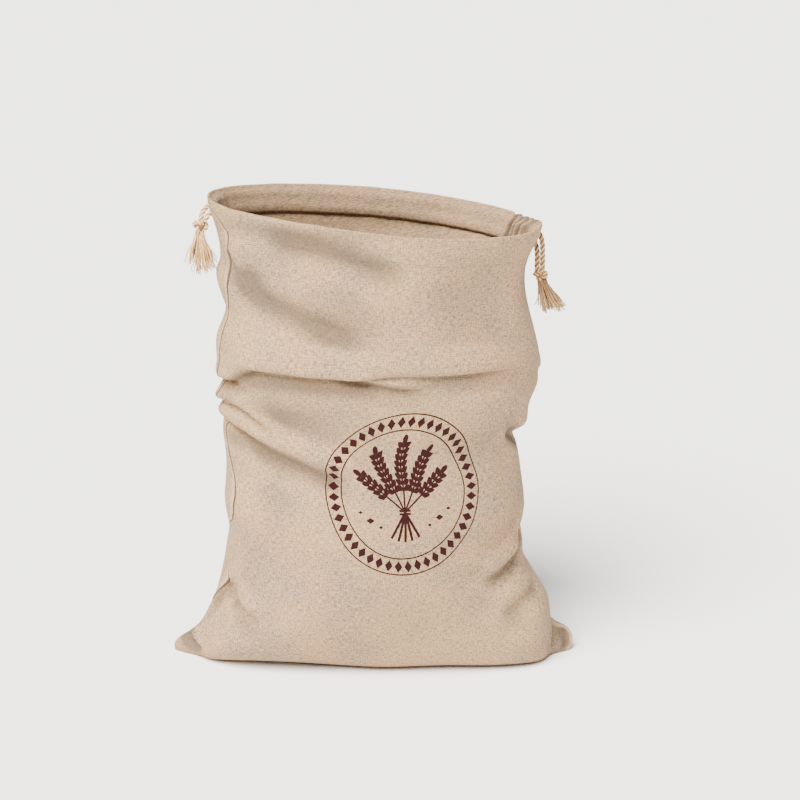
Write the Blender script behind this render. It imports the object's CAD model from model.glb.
import math
import random

import bmesh
import bpy
import numpy as np
from mathutils import Matrix, Vector, noise


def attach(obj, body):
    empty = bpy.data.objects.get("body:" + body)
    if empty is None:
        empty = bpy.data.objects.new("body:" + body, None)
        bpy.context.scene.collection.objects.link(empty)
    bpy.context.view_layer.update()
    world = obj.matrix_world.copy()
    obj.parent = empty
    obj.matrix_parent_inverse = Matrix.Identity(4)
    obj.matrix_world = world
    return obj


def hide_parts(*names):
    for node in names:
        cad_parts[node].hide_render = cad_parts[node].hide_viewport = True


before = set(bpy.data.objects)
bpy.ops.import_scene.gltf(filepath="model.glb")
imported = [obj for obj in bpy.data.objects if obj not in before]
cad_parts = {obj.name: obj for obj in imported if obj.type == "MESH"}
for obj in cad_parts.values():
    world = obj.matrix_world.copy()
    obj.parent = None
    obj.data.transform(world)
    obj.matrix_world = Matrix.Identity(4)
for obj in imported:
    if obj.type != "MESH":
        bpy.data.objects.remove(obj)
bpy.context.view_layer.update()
print("frame loaded with", len(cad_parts), "nodes")

mm = 0.001
centre = Vector((0.63, 2.47, 0.0))  # in mm, puts the bag's middle over the origin


def toLinear(hexCode):
    parts = [int(hexCode[i : i + 2], 16) / 255 for i in (1, 3, 5)]
    return (*[c / 12.92 if c <= 0.04045 else ((c + 0.055) / 1.055) ** 2.4 for c in parts], 1.0)


def addNode(tree, kind, sockets=None, **settings):
    node = tree.nodes.new("ShaderNode" + kind)
    for name, value in settings.items():
        setattr(node, name, value)
    for name, value in (sockets or {}).items():
        if isinstance(value, bpy.types.Node):
            value = next(o for o in value.outputs if o.enabled)
        if isinstance(value, bpy.types.NodeSocket):
            tree.links.new(value, node.inputs[name])
        else:
            node.inputs[name].default_value = value
    return node


def newMaterial(name, look):
    material = bpy.data.materials.new(name)
    material.use_nodes = True
    shader = material.node_tree.nodes["Principled BSDF"]
    shader.inputs["Roughness"].default_value = look["roughness"]
    shader.inputs["IOR"].default_value = 1.5
    shader.inputs["Sheen Weight"].default_value = look["sheen"]
    shader.inputs["Sheen Roughness"].default_value = 0.5
    shader.inputs["Sheen Tint"].default_value = toLinear(look["sheenTint"])
    return material, material.node_tree, shader


def addPiece(name, bm, material, slotName, *cadNodes):
    # an extrusion makes its faces in no fixed order, so the points set the order
    bm.verts.index_update()
    for parts in (bm.edges, bm.faces):
        for k, part in enumerate(sorted(parts, key=lambda part: sorted(v.index for v in part.verts))):
            part.index = k
        parts.sort()
    mesh = bpy.data.meshes.new(name)
    bm.to_mesh(mesh)
    bm.free()
    mesh.shade_smooth()
    piece = bpy.data.objects.new(name, mesh)
    piece.data.materials.append(material)
    bpy.context.scene.collection.objects.link(piece)
    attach(piece, "root")
    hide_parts(*cadNodes)
    return piece


view = {
    "target": Vector((19.5, 0.0, 197.0)),  # mm, before the shift by centre
    "elevation": 19.0,
    "distance": 1800.0,
    "lens": 111.94,
    "sensor": 36.0,
}

cameraData = bpy.data.cameras.new("studio camera")
cameraData.lens = view["lens"]
cameraData.sensor_width = view["sensor"]
camera = bpy.data.objects.new("studio camera", cameraData)
lift = math.radians(view["elevation"])
aim = Vector((0.0, math.cos(lift), -math.sin(lift)))
camera.location = (view["target"] + centre - aim * view["distance"]) * mm
camera.rotation_euler = aim.to_track_quat("-Z", "Y").to_euler()
bpy.context.scene.collection.objects.link(camera)
bpy.context.scene.camera = camera

studio = {
    "floorSize": 60.0,
    "paper": {"colour": "#ffffff", "roughness": 0.9, "sheen": 0.0, "sheenTint": "#ffffff"},
    "worldColour": "#f3f6fb",
    "worldStrength": 0.65,
    # name, where it shines from, strength, width of the soft source in degrees, colour
    "lamps": [
        ("large softbox upper left", (-0.4, -0.62, 1.0), 13.0, 40.0, "#fffaf4"),
    ],
}

bm = bmesh.new()
bmesh.ops.create_grid(bm, x_segments=1, y_segments=1, size=studio["floorSize"] / 2)
floorMesh = bpy.data.meshes.new("studio floor")
bm.to_mesh(floorMesh)
bm.free()
floor = bpy.data.objects.new("studio floor", floorMesh)
bpy.context.scene.collection.objects.link(floor)
floorPaint, tree, shader = newMaterial("Matt white paper sweep", studio["paper"])
shader.inputs["Base Color"].default_value = toLinear(studio["paper"]["colour"])
floorMesh.materials.append(floorPaint)

world = bpy.data.worlds.new("studio light")
bpy.context.scene.world = world
world.use_nodes = True
world.node_tree.nodes["Background"].inputs["Color"].default_value = toLinear(studio["worldColour"])
world.node_tree.nodes["Background"].inputs["Strength"].default_value = studio["worldStrength"]
for name, source, strength, width, tint in studio["lamps"]:
    lamp = bpy.data.lights.new(name, "SUN")
    lamp.energy, lamp.angle, lamp.color = strength, math.radians(width), toLinear(tint)[:3]
    holder = bpy.data.objects.new(name, lamp)
    holder.location = Vector(source) * 2
    holder.rotation_euler = Vector(source).to_track_quat("Z", "Y").to_euler()
    bpy.context.scene.collection.objects.link(holder)
print("camera, floor and lamps set")


rope = {
    "radius": 1.95,  # over the crowns of the strands, which makes 3.5 mm across on average
    "strandRadius": 1.02,  # each of the three strands
    "soil": {"left": 0.0, "right": 0.28},  # how much darker the whole rope is at that end of the bag
    "lay": 11.5,  # mm for one whole turn of a strand
    "step": 0.42,
    "sides": 30,
}
# From inside the channel out of the slit and down into the knot, in mm
routes = {
    "left cord front": [
        (-99.9, -27.3, 344.0),
        (-102.3, -24.0, 344.0),
        (-104.6, -20.9, 344.0),
        (-106.9, -17.4, 344.0),
        (-108.9, -13.9, 344.0),
        (-110.9, -10.6, 344.0),
        (-113.3, -8.6, 344.0),
        (-116.0, -8.4, 343.1),
        (-118.2, -9.0, 340.8),
        (-119.5, -9.6, 338.2),
        (-119.9, -9.9, 336.6),
        (-120.4, -9.9, 333.2),
    ],
    "left cord back": [
        (-106.6, 17.6, 339.4),
        (-108.1, 14.0, 339.4),
        (-109.2, 9.6, 339.4),
        (-110.1, 5.7, 339.4),
        (-110.6, 1.9, 339.4),
        (-110.7, -1.9, 339.4),
        (-110.9, -5.6, 339.4),
        (-112.4, -8.0, 339.3),
        (-114.2, -9.2, 338.6),
        (-115.5, -9.9, 337.4),
        (-116.0, -10.2, 336.3),
        (-118.0, -10.3, 333.4),
    ],
    "right cord front": [
        (112.2, -14.6, 322.0),
        (113.8, -10.2, 322.0),
        (114.8, -6.2, 322.0),
        (115.5, -2.2, 322.0),
        (116.9, 0.9, 321.7),
        (118.9, 1.6, 319.8),
        (119.9, 0.8, 316.6),
        (120.5, 0.0, 312.5),
        (120.6, -0.9, 307.0),
        (120.6, -1.6, 301.5),
        (120.6, -2.2, 296.4),
        (120.4, -2.5, 293.4),
    ],
    "right cord back": [
        (110.4, 14.4, 317.0),
        (111.9, 10.4, 317.0),
        (112.9, 6.6, 317.0),
        (114.6, 4.0, 315.9),
        (115.8, 1.6, 313.2),
        (116.6, -0.6, 309.6),
        (116.8, -2.0, 305.5),
        (116.8, -2.8, 301.0),
        (116.8, -3.2, 296.4),
        (117.8, -3.1, 293.4),
    ],
}


def smoothRoute(points, step, closed=False):
    points = [Vector(p) for p in points]
    if closed:
        ends = [points[-1]] + points + points[:2]
    else:
        ends = [points[0] * 2 - points[1]] + points + [points[-1] * 2 - points[-2]]
    dense = []
    for a, b, c, d in zip(ends, ends[1:], ends[2:], ends[3:]):
        for k in range(12):
            t = k / 12
            bend = (2 * a - 5 * b + 4 * c - d) * t**2 + (3 * b - a - 3 * c + d) * t**3
            dense.append(0.5 * (2 * b + (c - a) * t + bend))
    dense.append(points[0] if closed else points[-1])
    lengths = np.cumsum([0] + [(b - a).length for a, b in zip(dense, dense[1:])])
    places = np.linspace(0, lengths[-1], max(2, round(lengths[-1] / step)) + 1)
    axes = [np.interp(places, lengths, [p[k] for p in dense]) for k in range(3)]
    return [Vector(p) for p in zip(*axes)]


def ringEdges(bm, ring):
    return [bm.edges.get((a, b)) for a, b in zip(ring, ring[1:] + ring[:1])]


def skin(bm, rings, shades):
    # one skin over rings of points, closed at both ends; "groove" holds each point's shade
    groove = bm.verts.layers.float.get("groove") or bm.verts.layers.float.new("groove")
    ring = bmesh.ops.create_circle(bm, segments=len(rings[0]), radius=1)["verts"]
    first = ringEdges(bm, ring)
    for k, (points, values) in enumerate(zip(rings, shades)):
        if k:
            made = bmesh.ops.extrude_edge_only(bm, edges=ringEdges(bm, ring))["geom"]
            fresh = {v for v in made if isinstance(v, bmesh.types.BMVert)}
            ring = [next(e.other_vert(v) for e in v.link_edges if e.other_vert(v) in fresh) for v in ring]
        for v, point, value in zip(ring, points, values):
            v.co = point * mm
            v[groove] = value
    last = ringEdges(bm, ring)
    bmesh.ops.contextual_create(bm, geom=first)
    bmesh.ops.contextual_create(bm, geom=last)


def laidRadius(angle, strandRadius, outerRadius):
    # the skin of three round strands laid side by side
    offset = outerRadius - strandRadius
    away = (angle + math.pi / 3) % (2 * math.pi / 3) - math.pi / 3
    reach = max(strandRadius**2 - (offset * math.sin(away)) ** 2, 0.02)
    return offset * math.cos(away) + math.sqrt(reach)


def layRope(bm, route, look, soil):
    # three twisted lobes, darkest where the strands meet
    radius, strandRadius = look["radius"], look["strandRadius"]
    least = laidRadius(math.pi / 3, strandRadius, radius)
    angles = [2 * math.pi * n / look["sides"] for n in range(look["sides"])]
    across = Vector((0.3, 0.2, 1)).cross(route[1] - route[0]).normalized()
    done = 0.0
    rings, shades = [], []
    for k, here in enumerate(route):
        ahead = (route[min(k + 1, len(route) - 1)] - route[max(k - 1, 0)]).normalized()
        across = (across - ahead * across.dot(ahead)).normalized()
        up = ahead.cross(across)
        done += (here - route[k - 1]).length if k else 0.0
        turned = 2 * math.pi * done / look["lay"]
        sizes = [laidRadius(a - turned, strandRadius, radius) for a in angles]
        rings.append([here + (across * math.cos(a) + up * math.sin(a)) * r for a, r in zip(angles, sizes)])
        shades.append([soil + (radius - size) / (radius - least) for size in sizes])
    skin(bm, rings, shades)


# Laid cotton cord: carded cotton yarns in three strands, matt and creamy, darker where the strands meet
cordLook = {
    "light": "#f0cf9f",
    "middle": "#c0965c",
    "dark": "#6a4519",
    "roughness": 0.88,
    "sheen": 0.08,
    "sheenTint": "#fff6e4",
    "yarnWidth": 0.5,  # mm, one yarn in a strand, drawn a little coarse
    "yarnLength": 4.0,
    "patch": 8.0,
    "toneRange": (0.75, 1.2),
    "grooveRange": (0.15, 0.95),  # how deep in a groove the dark begins and is full
    "bump": 0.35,
    "relief": 0.0004,
}
cotton, tree, shader = newMaterial("Laid carded cotton cord", cordLook)
place = addNode(tree, "TexCoord").outputs["Object"]
fine, coarse = 1000 / cordLook["yarnWidth"], 1000 / cordLook["yarnLength"]
stretched = addNode(tree, "Mapping", {"Vector": place, "Scale": (fine, fine, coarse)})
yarns = addNode(tree, "TexNoise", {"Vector": stretched, "Scale": 1.0, "Detail": 2.0})
patches = addNode(tree, "TexNoise", {"Vector": place, "Scale": 1000 / cordLook["patch"], "Detail": 2.0})
blended = addNode(tree, "Math", {0: yarns, 1: patches}, operation="ADD")
low, high = cordLook["toneRange"]
tone = addNode(tree, "MapRange", {"Value": blended, "From Min": low, "From Max": high})
cream = addNode(
    tree,
    "Mix",
    {0: tone, 6: toLinear(cordLook["middle"]), 7: toLinear(cordLook["light"])},
    data_type="RGBA",
)
groove = addNode(tree, "Attribute", attribute_name="groove").outputs["Fac"]
low, high = cordLook["grooveRange"]
depth = addNode(tree, "MapRange", {"Value": groove, "From Min": low, "From Max": high})
shade = addNode(
    tree,
    "Mix",
    {0: depth, 6: cream.outputs[2], 7: toLinear(cordLook["dark"])},
    data_type="RGBA",
)
tree.links.new(shade.outputs[2], shader.inputs["Base Color"])
relief = addNode(
    tree,
    "Bump",
    {"Height": yarns, "Strength": cordLook["bump"], "Distance": cordLook["relief"]},
)
tree.links.new(relief.outputs["Normal"], shader.inputs["Normal"])

for name, points in routes.items():
    line = [p + centre for p in smoothRoute(points, rope["step"])]
    bm = bmesh.new()
    layRope(bm, line, rope, rope["soil"][name.split()[0]])
    bmesh.ops.recalc_face_normals(bm, faces=bm.faces)
    node = name.replace(" ", "_")
    addPiece(node + "_rope", bm, cotton, "cord", node)


# Middle and half-sizes of the ball in mm, lean and turn in degrees
knots = {
    "left knot": {"middle": (-121.0, -9.9, 329.6), "half": (6.0, 5.2, 6.0), "lean": 18.0, "turn": 25.0},
    "right knot": {"middle": (119.7, -2.9, 291.6), "half": (6.2, 5.2, 4.2), "lean": -12.0, "turn": -20.0},
}
knotRope = {
    "radius": 1.72,
    "strandRadius": 0.95,
    "lay": 9.5,
    "step": 0.5,
    "sides": 24,
    "points": 24,  # round the whole loop
    "fullness": 1.05,  # how far the loops fill the ball
    "core": 0.62,  # share of the ball that a plain core fills
    "coreShade": 0.9,
}


def knotPath(half, lean, turn):
    # an overhand knot pulled tight: three crossings round the ball's middle
    reach = Vector(half) - Vector([knotRope["radius"]] * 3)
    spin = Matrix.Rotation(math.radians(lean), 3, "Y") @ Matrix.Rotation(math.radians(turn), 3, "Z")
    path = []
    for k in range(knotRope["points"]):
        t = 2 * math.pi * k / knotRope["points"]
        x = math.sin(t) + 2 * math.sin(2 * t)
        z = math.cos(t) - 2 * math.cos(2 * t)
        ball = spin @ (Vector((x, -1.5 * math.sin(3 * t), z)) / 3.0)
        path.append(Vector([b * r * knotRope["fullness"] for b, r in zip(ball, reach)]))
    return path


for name, knot in knots.items():
    bm = bmesh.new()
    middle = Vector(knot["middle"]) + centre
    path = knotPath(knot["half"], knot["lean"], knot["turn"])
    line = [p + middle for p in smoothRoute(path, knotRope["step"], closed=True)]
    layRope(bm, line, knotRope, rope["soil"][name.split()[0]])
    core = bmesh.ops.create_uvsphere(bm, u_segments=20, v_segments=12, radius=1)["verts"]
    for v in core:
        v.co = (middle + Vector([c * h * knotRope["core"] for c, h in zip(v.co, knot["half"])])) * mm
        v[bm.verts.layers.float["groove"]] = knotRope["coreShade"]
    bmesh.ops.recalc_face_normals(bm, faces=bm.faces)
    node = name.replace(" ", "_")
    addPiece(node + "_tied", bm, cotton, "cord", node)
print("knots tied")


tassels = {
    "left tassel": {
        "top": (-121.4, -9.9, 326.5),
        "length": 34.0,
        "lean": (0.8, -1.0),
        "spread": 8.0,
        "neck": 2.6,
        "clumps": 14,
        "yarns": 190,
        "stray": 18,
        "shade": 0.0,
        "seed": 5,
    },
    "right tassel": {
        "top": (119.6, -2.9, 289.5),
        "length": 27.5,
        "lean": (7.5, -1.5),
        "spread": 7.2,
        "neck": 3.0,
        "clumps": 12,
        "yarns": 190,
        "stray": 9,
        "shade": 0.8,
        "seed": 11,
    },
}
yarn = {
    "radius": 0.4,
    "radiusRange": (0.75, 1.1),
    "taper": 0.45,
    "sides": 4,
    "steps": 10,
    "wave": 0.6,
    "strayWave": 1.4,
    "turns": 2.6,  # how often the clumps go round the tassel
    "clumpTurn": (0.28, 0.5),  # how far a yarn leaves its clump's side, and a stray one's extra
    "clumpOut": 0.13,
    "mostOut": 1.15,
    "shortest": 0.8,
    "fling": (1.3, 2.1),  # how much wider a stray yarn swings
    "flatness": 0.8,
    "lift": 0.12,  # how much a yarn that leans out is shortened
    "darkInside": 1.3,
}


def addYarn(bm, line, radius, shadeValue):
    angles = [2 * math.pi * n / yarn["sides"] for n in range(yarn["sides"])]
    rings, shades = [], []
    for k, here in enumerate(line):
        ahead = (line[min(k + 1, len(line) - 1)] - line[max(k - 1, 0)]).normalized()
        across = ahead.cross(Vector((0, 1, 0.2))).normalized()
        up = ahead.cross(across)
        size = radius * (1.0 - yarn["taper"] * (k / (len(line) - 1)) ** 2)
        rings.append([here + (across * math.cos(a) + up * math.sin(a)) * size for a in angles])
        shades.append([shadeValue * (1.0 - 0.5 * k / len(line))] * yarn["sides"])
    skin(bm, rings, shades)


for name, tassel in tassels.items():
    chance = random.Random(tassel["seed"])
    bm = bmesh.new()
    top = Vector(tassel["top"]) + centre
    leanX, leanY = tassel["lean"]
    clumps = []
    for k in range(tassel["clumps"]):
        way = 2 * math.pi * (k + chance.uniform(-0.3, 0.3)) / tassel["clumps"] * yarn["turns"]
        out = math.sqrt(chance.uniform(0.05, 1.0))
        reachDown = chance.uniform(yarn["shortest"], 1.0)
        clumps.append((way, out, reachDown, [chance.uniform(-1, 1) for _ in range(4)]))
    for k in range(tassel["yarns"]):
        way, out, reachDown, sway = clumps[k % len(clumps)]
        isStray = k < tassel["stray"]
        way += chance.gauss(0, yarn["clumpTurn"][0] + yarn["clumpTurn"][1] * isStray)
        out = min(yarn["mostOut"], abs(out + chance.gauss(0, yarn["clumpOut"])))
        long = tassel["length"] * reachDown * chance.uniform(yarn["shortest"], 1.0)
        fling = chance.uniform(*yarn["fling"]) if isStray else 1.0
        line = []
        for step in range(yarn["steps"] + 1):
            t = step / yarn["steps"]
            reach = tassel["neck"] * out + tassel["spread"] * out * fling * t**1.3
            wave = yarn["wave"] * (1.0 + yarn["strayWave"] * isStray) * t * (1.0 + 0.8 * t)
            waveX = wave * math.sin(5 * t * (1 + sway[0]) + 6 * sway[1])
            waveY = wave * math.sin(4 * t * (1 + sway[2]) + 6 * sway[3])
            x = math.cos(way) * reach + leanX * t**1.1 + waveX
            y = math.sin(way) * reach * yarn["flatness"] + leanY * t + waveY
            drop = long * t * (1.0 - yarn["lift"] * fling * out * t)
            line.append(top + Vector((x, y, -drop)))
        radius = yarn["radius"] * chance.uniform(*yarn["radiusRange"])
        shadeValue = tassel["shade"] + chance.uniform(0.0, 1.0) * (yarn["darkInside"] - out)
        addYarn(bm, line, radius, shadeValue)
    bmesh.ops.recalc_face_normals(bm, faces=bm.faces)
    node = name.replace(" ", "_")
    addPiece(node + "_yarns", bm, cotton, "cord", node)
print("tassels frayed")

cordEnds = {
    "left cord front": {"exit": (-112.6, -8.8, 344.0), "pieces": ["left knot", "left tassel"]},
    "left cord back": {"exit": (-111.6, -6.8, 339.4), "pieces": []},
    "right cord front": {"exit": (116.0, -0.8, 322.0), "pieces": ["right knot", "right tassel"]},
    "right cord back": {"exit": (113.6, 5.2, 316.6), "pieces": []},
}
for name, facts in cordEnds.items():
    line = smoothRoute(routes[name], rope["step"])


# Places run round the bag in mm: 0 the left side seam, 150 the front, 300 the right seam, 450 the back
bag = {
    "halfGirth": 300.0,
    "cloth": 0.7,
    "hemDepth": 21.0,
    "hemEdge": 2.2,
    "hemThick": 4.4,
    "hemEndThick": 6.8,
    "hemEndReach": 33.0,
    "hemCrown": 0.9,
    "hemCurve": 8.0,  # half-height of the crown
    "hemSlopes": (5.0, 7.0),  # mm over which the band thickens from its edges and towards its ends
    "hemCalm": (6.0, 10.0, 0.6),  # folds fade from this far under the hem, over this height, by this share
    "seamRise": 0.8,
    "seamHalf": 2.5,
    "seamGroove": (0.5, 0.7),  # depth and half-width of the line along the seam
    "seamStart": 4.0,  # mm under the hem over which the seam rises
    "footHeight": 18.0,
    "footWaveHeight": 20.0,
    "earHalves": (12.0, 9.0),
    # where the front sags over: the roll above the fold, the bite under it, and how far it hangs
    "roll": {"height": 7.5, "spread": 0.95, "bite": 0.42, "biteHalf": 4.0, "hangAt": 5.5, "hangHalf": 4.2},
    "driftReach": (110.0, 60.0),  # mm round from the left seam to where its drift ends, and to fade it out
    # how far the left seam's drawn line runs forward of the shape's own seam; a minus is backward
    "seamDrift": [
        ("z", "drift"),
        (0, -4.0),
        (18, -10.0),
        (32, -18.0),
        (53, -9.5),
        (61, -5.0),
        (68, -1.0),
        (70.5, -6.0),
        (74, -21.0),
        (78, -30.0),
        (84, -34.5),
        (94, -35.5),
        (101, -33.0),
        (107, -25.0),
        (112, -11.0),
        (116, -3.5),
        (121, 0.0),
        (300, 0.0),
        (314, 0.0),
        (322, 15.0),
        (330, 29.0),
        (338, 28.0),
        (346, 8.0),
        (352, 0.0),
    ],
    "earHollow": {"at": 294.8, "half": 2.0, "from": 1.0, "to": 20.0, "slopes": (3.0, 6.0), "deep": 6.5},
    "gatherHalf": 2.9,
    "gatherDrop": 46.0,
    "gatherGap": (5.0, 2.4),  # from the first gap to the first gather, and a gap's half-width
    "columnStep": 2.45,
    "rowStep": 2.8,
    "hollowReach": (17.0, 4.5),  # mm, how far round a place is compared with how near, to find hollows
    "hollowFoot": 25.0,
    "creaseEnds": (0.25, 0.3),  # share of a crease's length over which it starts and ends
    # round from, round to, height from, height to: where the channel's outer layer is left open
    "slits": [(-4.6, 7.4, 334.0, 346.1), (298.4, 310.8, 311.0, 323.8)],
    "sections": [
        ("z", "left", "right", "front", "back", "square"),
        (0, -131.0, 131.0, 29.5, 29.0, 3.0),
        (5, -133.5, 132.0, 38.0, 36.0, 2.6),
        (14, -131.5, 132.0, 48.0, 45.0, 1.9),
        (27, -126.0, 131.0, 57.0, 52.0, 1.2),
        (45, -118.0, 128.0, 64.0, 59.0, 0.6),
        (62, -112.8, 118.3, 67.0, 63.0, 0.2),
        (77, -109.8, 110.2, 68.0, 65.0, 0.1),
        (89, -108.0, 110.0, 68.0, 65.5, 0.1),
        (100, -106.3, 107.8, 68.0, 66.0, 0.1),
        (125, -108.6, 109.5, 67.0, 66.0, 0.1),
        (150, -107.0, 106.8, 66.0, 65.0, 0.1),
        (175, -108.8, 104.5, 65.0, 64.0, 0.1),
        (191, -108.4, 110.2, 65.5, 64.0, 0.1),
        (200, -110.0, 113.8, 66.0, 64.0, 0.1),
        (211, -109.7, 118.4, 66.5, 64.0, 0.1),
        (222, -109.3, 119.5, 67.0, 64.0, 0.1),
        (245, -111.0, 117.0, 66.0, 64.0, 0.1),
        (262, -106.4, 112.8, 65.0, 63.0, 0.1),
        (271, -105.0, 110.6, 65.0, 62.5, 0.1),
        (280, -107.2, 108.8, 65.5, 62.0, 0.1),
        (296, -110.8, 108.4, 66.0, 62.0, 0.1),
        (303, -108.4, 109.8, 66.0, 62.5, 0.1),
        (312, -108.0, 113.0, 65.0, 63.0, 0.1),
        (328, -110.5, 120.0, 63.5, 64.0, 0.1),
        (352, -116.0, 123.5, 63.0, 65.0, 0.1),
    ],
    "ears": [
        ("z", "left", "right"),
        (0, 19.0, 17.0),
        (6, 15.5, 16.5),
        (13, 9.5, 15.0),
        (18, 4.8, 10.3),
        (22, 2.4, 2.4),
        (28, 0.0, 0.0),
    ],
    "seams": [
        ("z", "left", "right"),
        (0, 0.0, 0.0),
        (14, 3.0, 2.0),
        (28, 12.0, 4.0),
        (40, 21.0, 6.0),
        (52, 27.0, 8.0),
        (66, 36.0, 10.0),
        (92, 38.0, 12.0),
        (120, 43.0, 13.0),
        (135, 44.0, 14.0),
        (160, 31.0, 14.0),
        (196, 18.0, 14.0),
        (216, 20.0, 14.0),
        (234, 27.0, 14.0),
        (246, 28.0, 14.0),
        (260, 26.0, 13.0),
        (275, 28.0, 12.0),
        (285, 34.0, 10.0),
        (294, 38.0, 8.0),
        (303, 35.0, 4.0),
        (312, 33.0, 0.0),
        (322, 26.0, 0.0),
        (332, 11.0, 0.0),
        (352, 11.0, 0.0),
    ],
    "edges": [
        ("round", "mouth", "fold", "bulge", "hang"),
        (0, 349.5, 215.5, 3.5, 1.0),
        (22, 348.5, 218.0, 4.5, 2.0),
        (44, 348.0, 222.0, 4.6, 2.5),
        (54, 347.8, 229.5, 4.2, 3.0),
        (67, 347.5, 234.5, 6.0, 3.5),
        (88, 346.0, 235.5, 5.5, 3.5),
        (120, 342.0, 236.0, 6.0, 5.0),
        (142, 338.8, 235.5, 5.5, 4.5),
        (158, 336.2, 236.0, 3.5, 2.5),
        (172, 334.2, 236.2, 3.5, 3.0),
        (186, 332.5, 235.8, 4.0, 3.5),
        (205, 331.0, 235.5, 4.5, 4.0),
        (225, 330.0, 234.0, 3.0, 2.0),
        (243, 329.0, 231.5, 1.5, 0.5),
        (270, 328.0, 226.0, 0.8, 0.0),
        (300, 328.5, 219.0, 1.5, 0.0),
        (340, 327.5, 214.0, 1.5, 0.0),
        (390, 331.0, 213.0, 2.5, 0.5),
        (450, 338.0, 217.0, 3.0, 1.5),
        (520, 345.0, 213.0, 2.5, 1.0),
        (570, 348.5, 211.0, 2.5, 0.5),
        (600, 349.5, 215.5, 3.5, 1.0),
    ],
    "creases": [
        ("name", "path", "rise", "riseWide", "bite", "biteWide"),
        (
            "knuckle line",
            [(588, 214), (12, 217), (27, 220), (42, 220), (51, 217), (61, 213.5), (72, 210)],
            0.6,
            5,
            3.5,
            2.0,
        ),
        (
            "left ledge",
            [(590, 199), (6, 200), (27, 201.5), (42, 202), (52, 201), (62, 198), (71, 193.5)]
            + [(80, 189), (92, 184)],
            4.0,
            5,
            5.0,
            2.4,
        ),
        (
            "second ledge",
            [(2, 183), (14, 187), (26, 187), (50, 183.5), (66, 180.5), (82, 176)],
            3.8,
            8,
            5.0,
            2.6,
        ),
        (
            "slanting trough",
            [(52, 179), (71, 175), (87, 170.5), (103, 167), (120, 161.5), (146, 156)],
            5.0,
            10,
            5.6,
            7,
        ),
        ("fold tail", [(122, 236), (138, 232.5), (154, 228.5), (168, 226), (184, 225.5)], 3.2, 4, 3.6, 3.0),
        ("right side notch", [(322, 168), (302, 171), (288, 173), (272, 179), (252, 186)], 4.5, 9, 8.0, 5.0),
        ("right waist", [(310, 104), (294, 99), (276, 92)], 2.0, 12, 3.0, 8),
        ("lower right trough", [(286, 94), (270, 85), (248, 78), (222, 72)], 3.0, 8, 3.5, 6),
        (
            "right corner trough",
            [(291, 58), (280, 58), (268, 56), (249, 53), (233, 48), (223, 44)],
            2.6,
            9,
            3.8,
            5.5,
        ),
        ("left corner crease", [(46, 70), (38, 64), (28, 55), (18, 44), (10, 32)], 2.5, 5, 4.0, 3.0),
        ("left front trough", [(43, 64), (46, 57), (53, 50), (66, 45), (80, 41)], 2.5, 7, 3.5, 3.6),
        ("left ear dimple", [(0, 24), (3, 18), (8, 13), (16, 10), (28, 8)], 2.0, 4, 6.5, 2.6),
        ("right ear crease", [(297, 28), (291, 15), (288, 5)], 2.0, 5, 4.0, 4.5),
        ("left mouth hollow", [(34, 318), (40, 306), (50, 296)], 2.0, 9, 3.0, 8),
        ("upper slant", [(36, 304), (65, 290), (100, 275), (135, 260), (152, 250)], 0.0, 12, 6.0, 13),
        (
            "under the hem",
            [(72, 331), (92, 330), (110, 328), (128, 323), (149, 315), (166, 309), (184, 299)],
            0.0,
            12,
            4.8,
            9,
        ),
        ("left waist", [(588, 268), (8, 268), (28, 270)], 1.0, 12, 1.2, 8),
        ("back slant", [(350, 190), (400, 206), (460, 196)], 3.0, 14, 4.0, 10),
        ("back low trough", [(380, 96), (430, 80), (500, 92)], 2.5, 16, 3.5, 12),
        ("back left trough", [(540, 168), (566, 182), (590, 176)], 3.0, 10, 3.5, 8),
    ],
    "footWaves": [
        ("round", "wide", "out"),
        (52, 40, -4.5),
        (92, 34, -4.0),
        (156, 26, 4.5),
        (215, 26, 2.0),
    ],
    "swells": [
        ("round", "z", "wide", "high", "out"),
        (60, 321, 24, 12, 4.0),
        (78, 252, 60, 20, 4.0),
        (104, 298, 40, 16, -1.2),
        (96, 354, 50, 18, 11.0),
        (200, 256, 44, 26, 2.0),
        (166, 286, 26, 40, 2.6),
        (206, 280, 34, 46, -2.2),
        (256, 286, 22, 40, 2.4),
        (48, 124, 26, 24, 4.5),
        (86, 150, 18, 22, -2.0),
        (146, 118, 54, 40, 3.2),
        (226, 136, 34, 34, 2.4),
        (262, 40, 24, 20, 4.0),
        (92, 60, 32, 24, 2.6),
        (186, 52, 44, 22, -2.0),
        (100, 190, 42, 26, -3.2),
        (222, 206, 36, 18, 3.2),
        (440, 280, 60, 50, 3.0),
        (380, 300, 26, 40, -2.0),
        (430, 140, 70, 50, 4.0),
        (540, 110, 34, 50, -3.0),
    ],
    # where the cloth lies in its own shade, as a depth of hollow in mm; a minus is a clean ridge
    "shades": [
        ("round", "z", "wide", "high", "deep"),
        (61, 303, 13, 11, 2.6),
        (68, 286, 11, 12, 1.4),
        (60, 327, 11, 6, -2.2),
        (88, 340, 30, 7, 2.0),
        (134, 338, 30, 8, 1.5),
        (112, 224, 48, 8, 1.5),
        (90, 204, 28, 8, 1.8),
        (46, 178, 16, 8, 1.6),
        (88, 177, 24, 9, 1.4),
        (134, 282, 24, 24, 1.4),
        (216, 272, 24, 26, 0.4),
        (175, 280, 9, 34, -1.0),
        (48, 54, 4, 6, 1.6),
        (3, 18, 4, 4, 3.6),
        (9, 13, 6, 4, 5.0),
        (17, 8, 8, 3.2, 4.6),
        (278, 10, 2.2, 7, 2.0),
        (283, 20, 2.2, 6, 1.8),
        (288, 10, 6, 9, 1.3),
        (299, 10, 1.6, 9, -1.5),
    ],
    "footShade": 1.6,
    "footShadeHeight": 4.0,
    "tuckShade": 5.0,
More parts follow.
